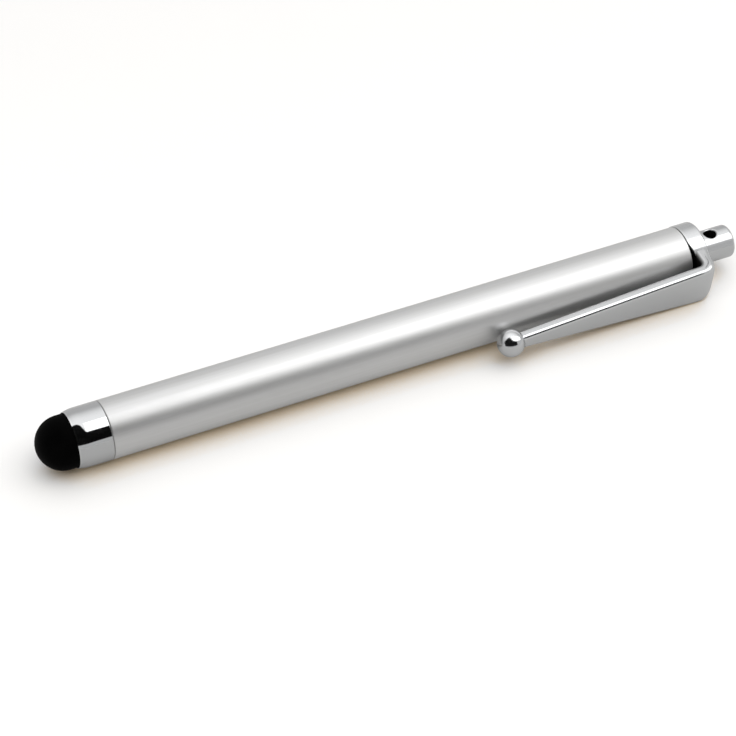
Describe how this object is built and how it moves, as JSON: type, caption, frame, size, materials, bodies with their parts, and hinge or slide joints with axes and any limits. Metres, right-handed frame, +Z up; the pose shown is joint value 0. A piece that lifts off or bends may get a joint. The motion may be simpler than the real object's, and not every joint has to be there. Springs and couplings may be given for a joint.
{
  "type": "stylus pen",
  "caption": "Touch-screen stylus pen: hollow rubber dome tip, plated nose ring, satin tube, and a plated cap with a sprung ball-end pocket clip and a cross-drilled lanyard lug.",
  "frame": {"origin": "on the table, under the middle of the pen's bounding box, with the pen lying on its clip as pictured", "axes": "+X along the pen from the dome tip to the lug, +Z up from the table, clip towards -Y"},
  "size_m": [0.1152, 0.0134, 0.0092],
  "materials": {
    "satin_aluminium": "satin",
    "plated_brass": "polished",
    "plated_steel": "polished",
    "conductive_rubber": "matte",
    "bare_brass": "satin",
    "black_plastic": "matte"
  },
  "bodies": {
    "pen": {"barrel": "satin_aluminium", "nose_ring": "plated_brass", "tip_core": "bare_brass", "tail_bush": "black_plastic", "clip_cap": "plated_steel", "tail_lug": "plated_brass"},
    "tip": {"tip_dome": "conductive_rubber"},
    "clip": {"clip_arm": "plated_steel", "clip_ball": "plated_steel"}
  },
  "joints": [
    {"name": "tip_press", "type": "slide", "parent": "pen", "child": "tip", "axis": [1, 0, 0], "range_m": [0, 0.0007], "stiffness_N_per_m": 1000},
    {"name": "clip_flex", "type": "hinge", "parent": "pen", "child": "clip", "pos_m": [0.05145, -0.00279, 0.00377], "axis": [0, -0.1667, 0.986], "range_deg": [0, 5], "stiffness_Nm_per_rad": 1, "springref_deg": -2.01}
  ]
}
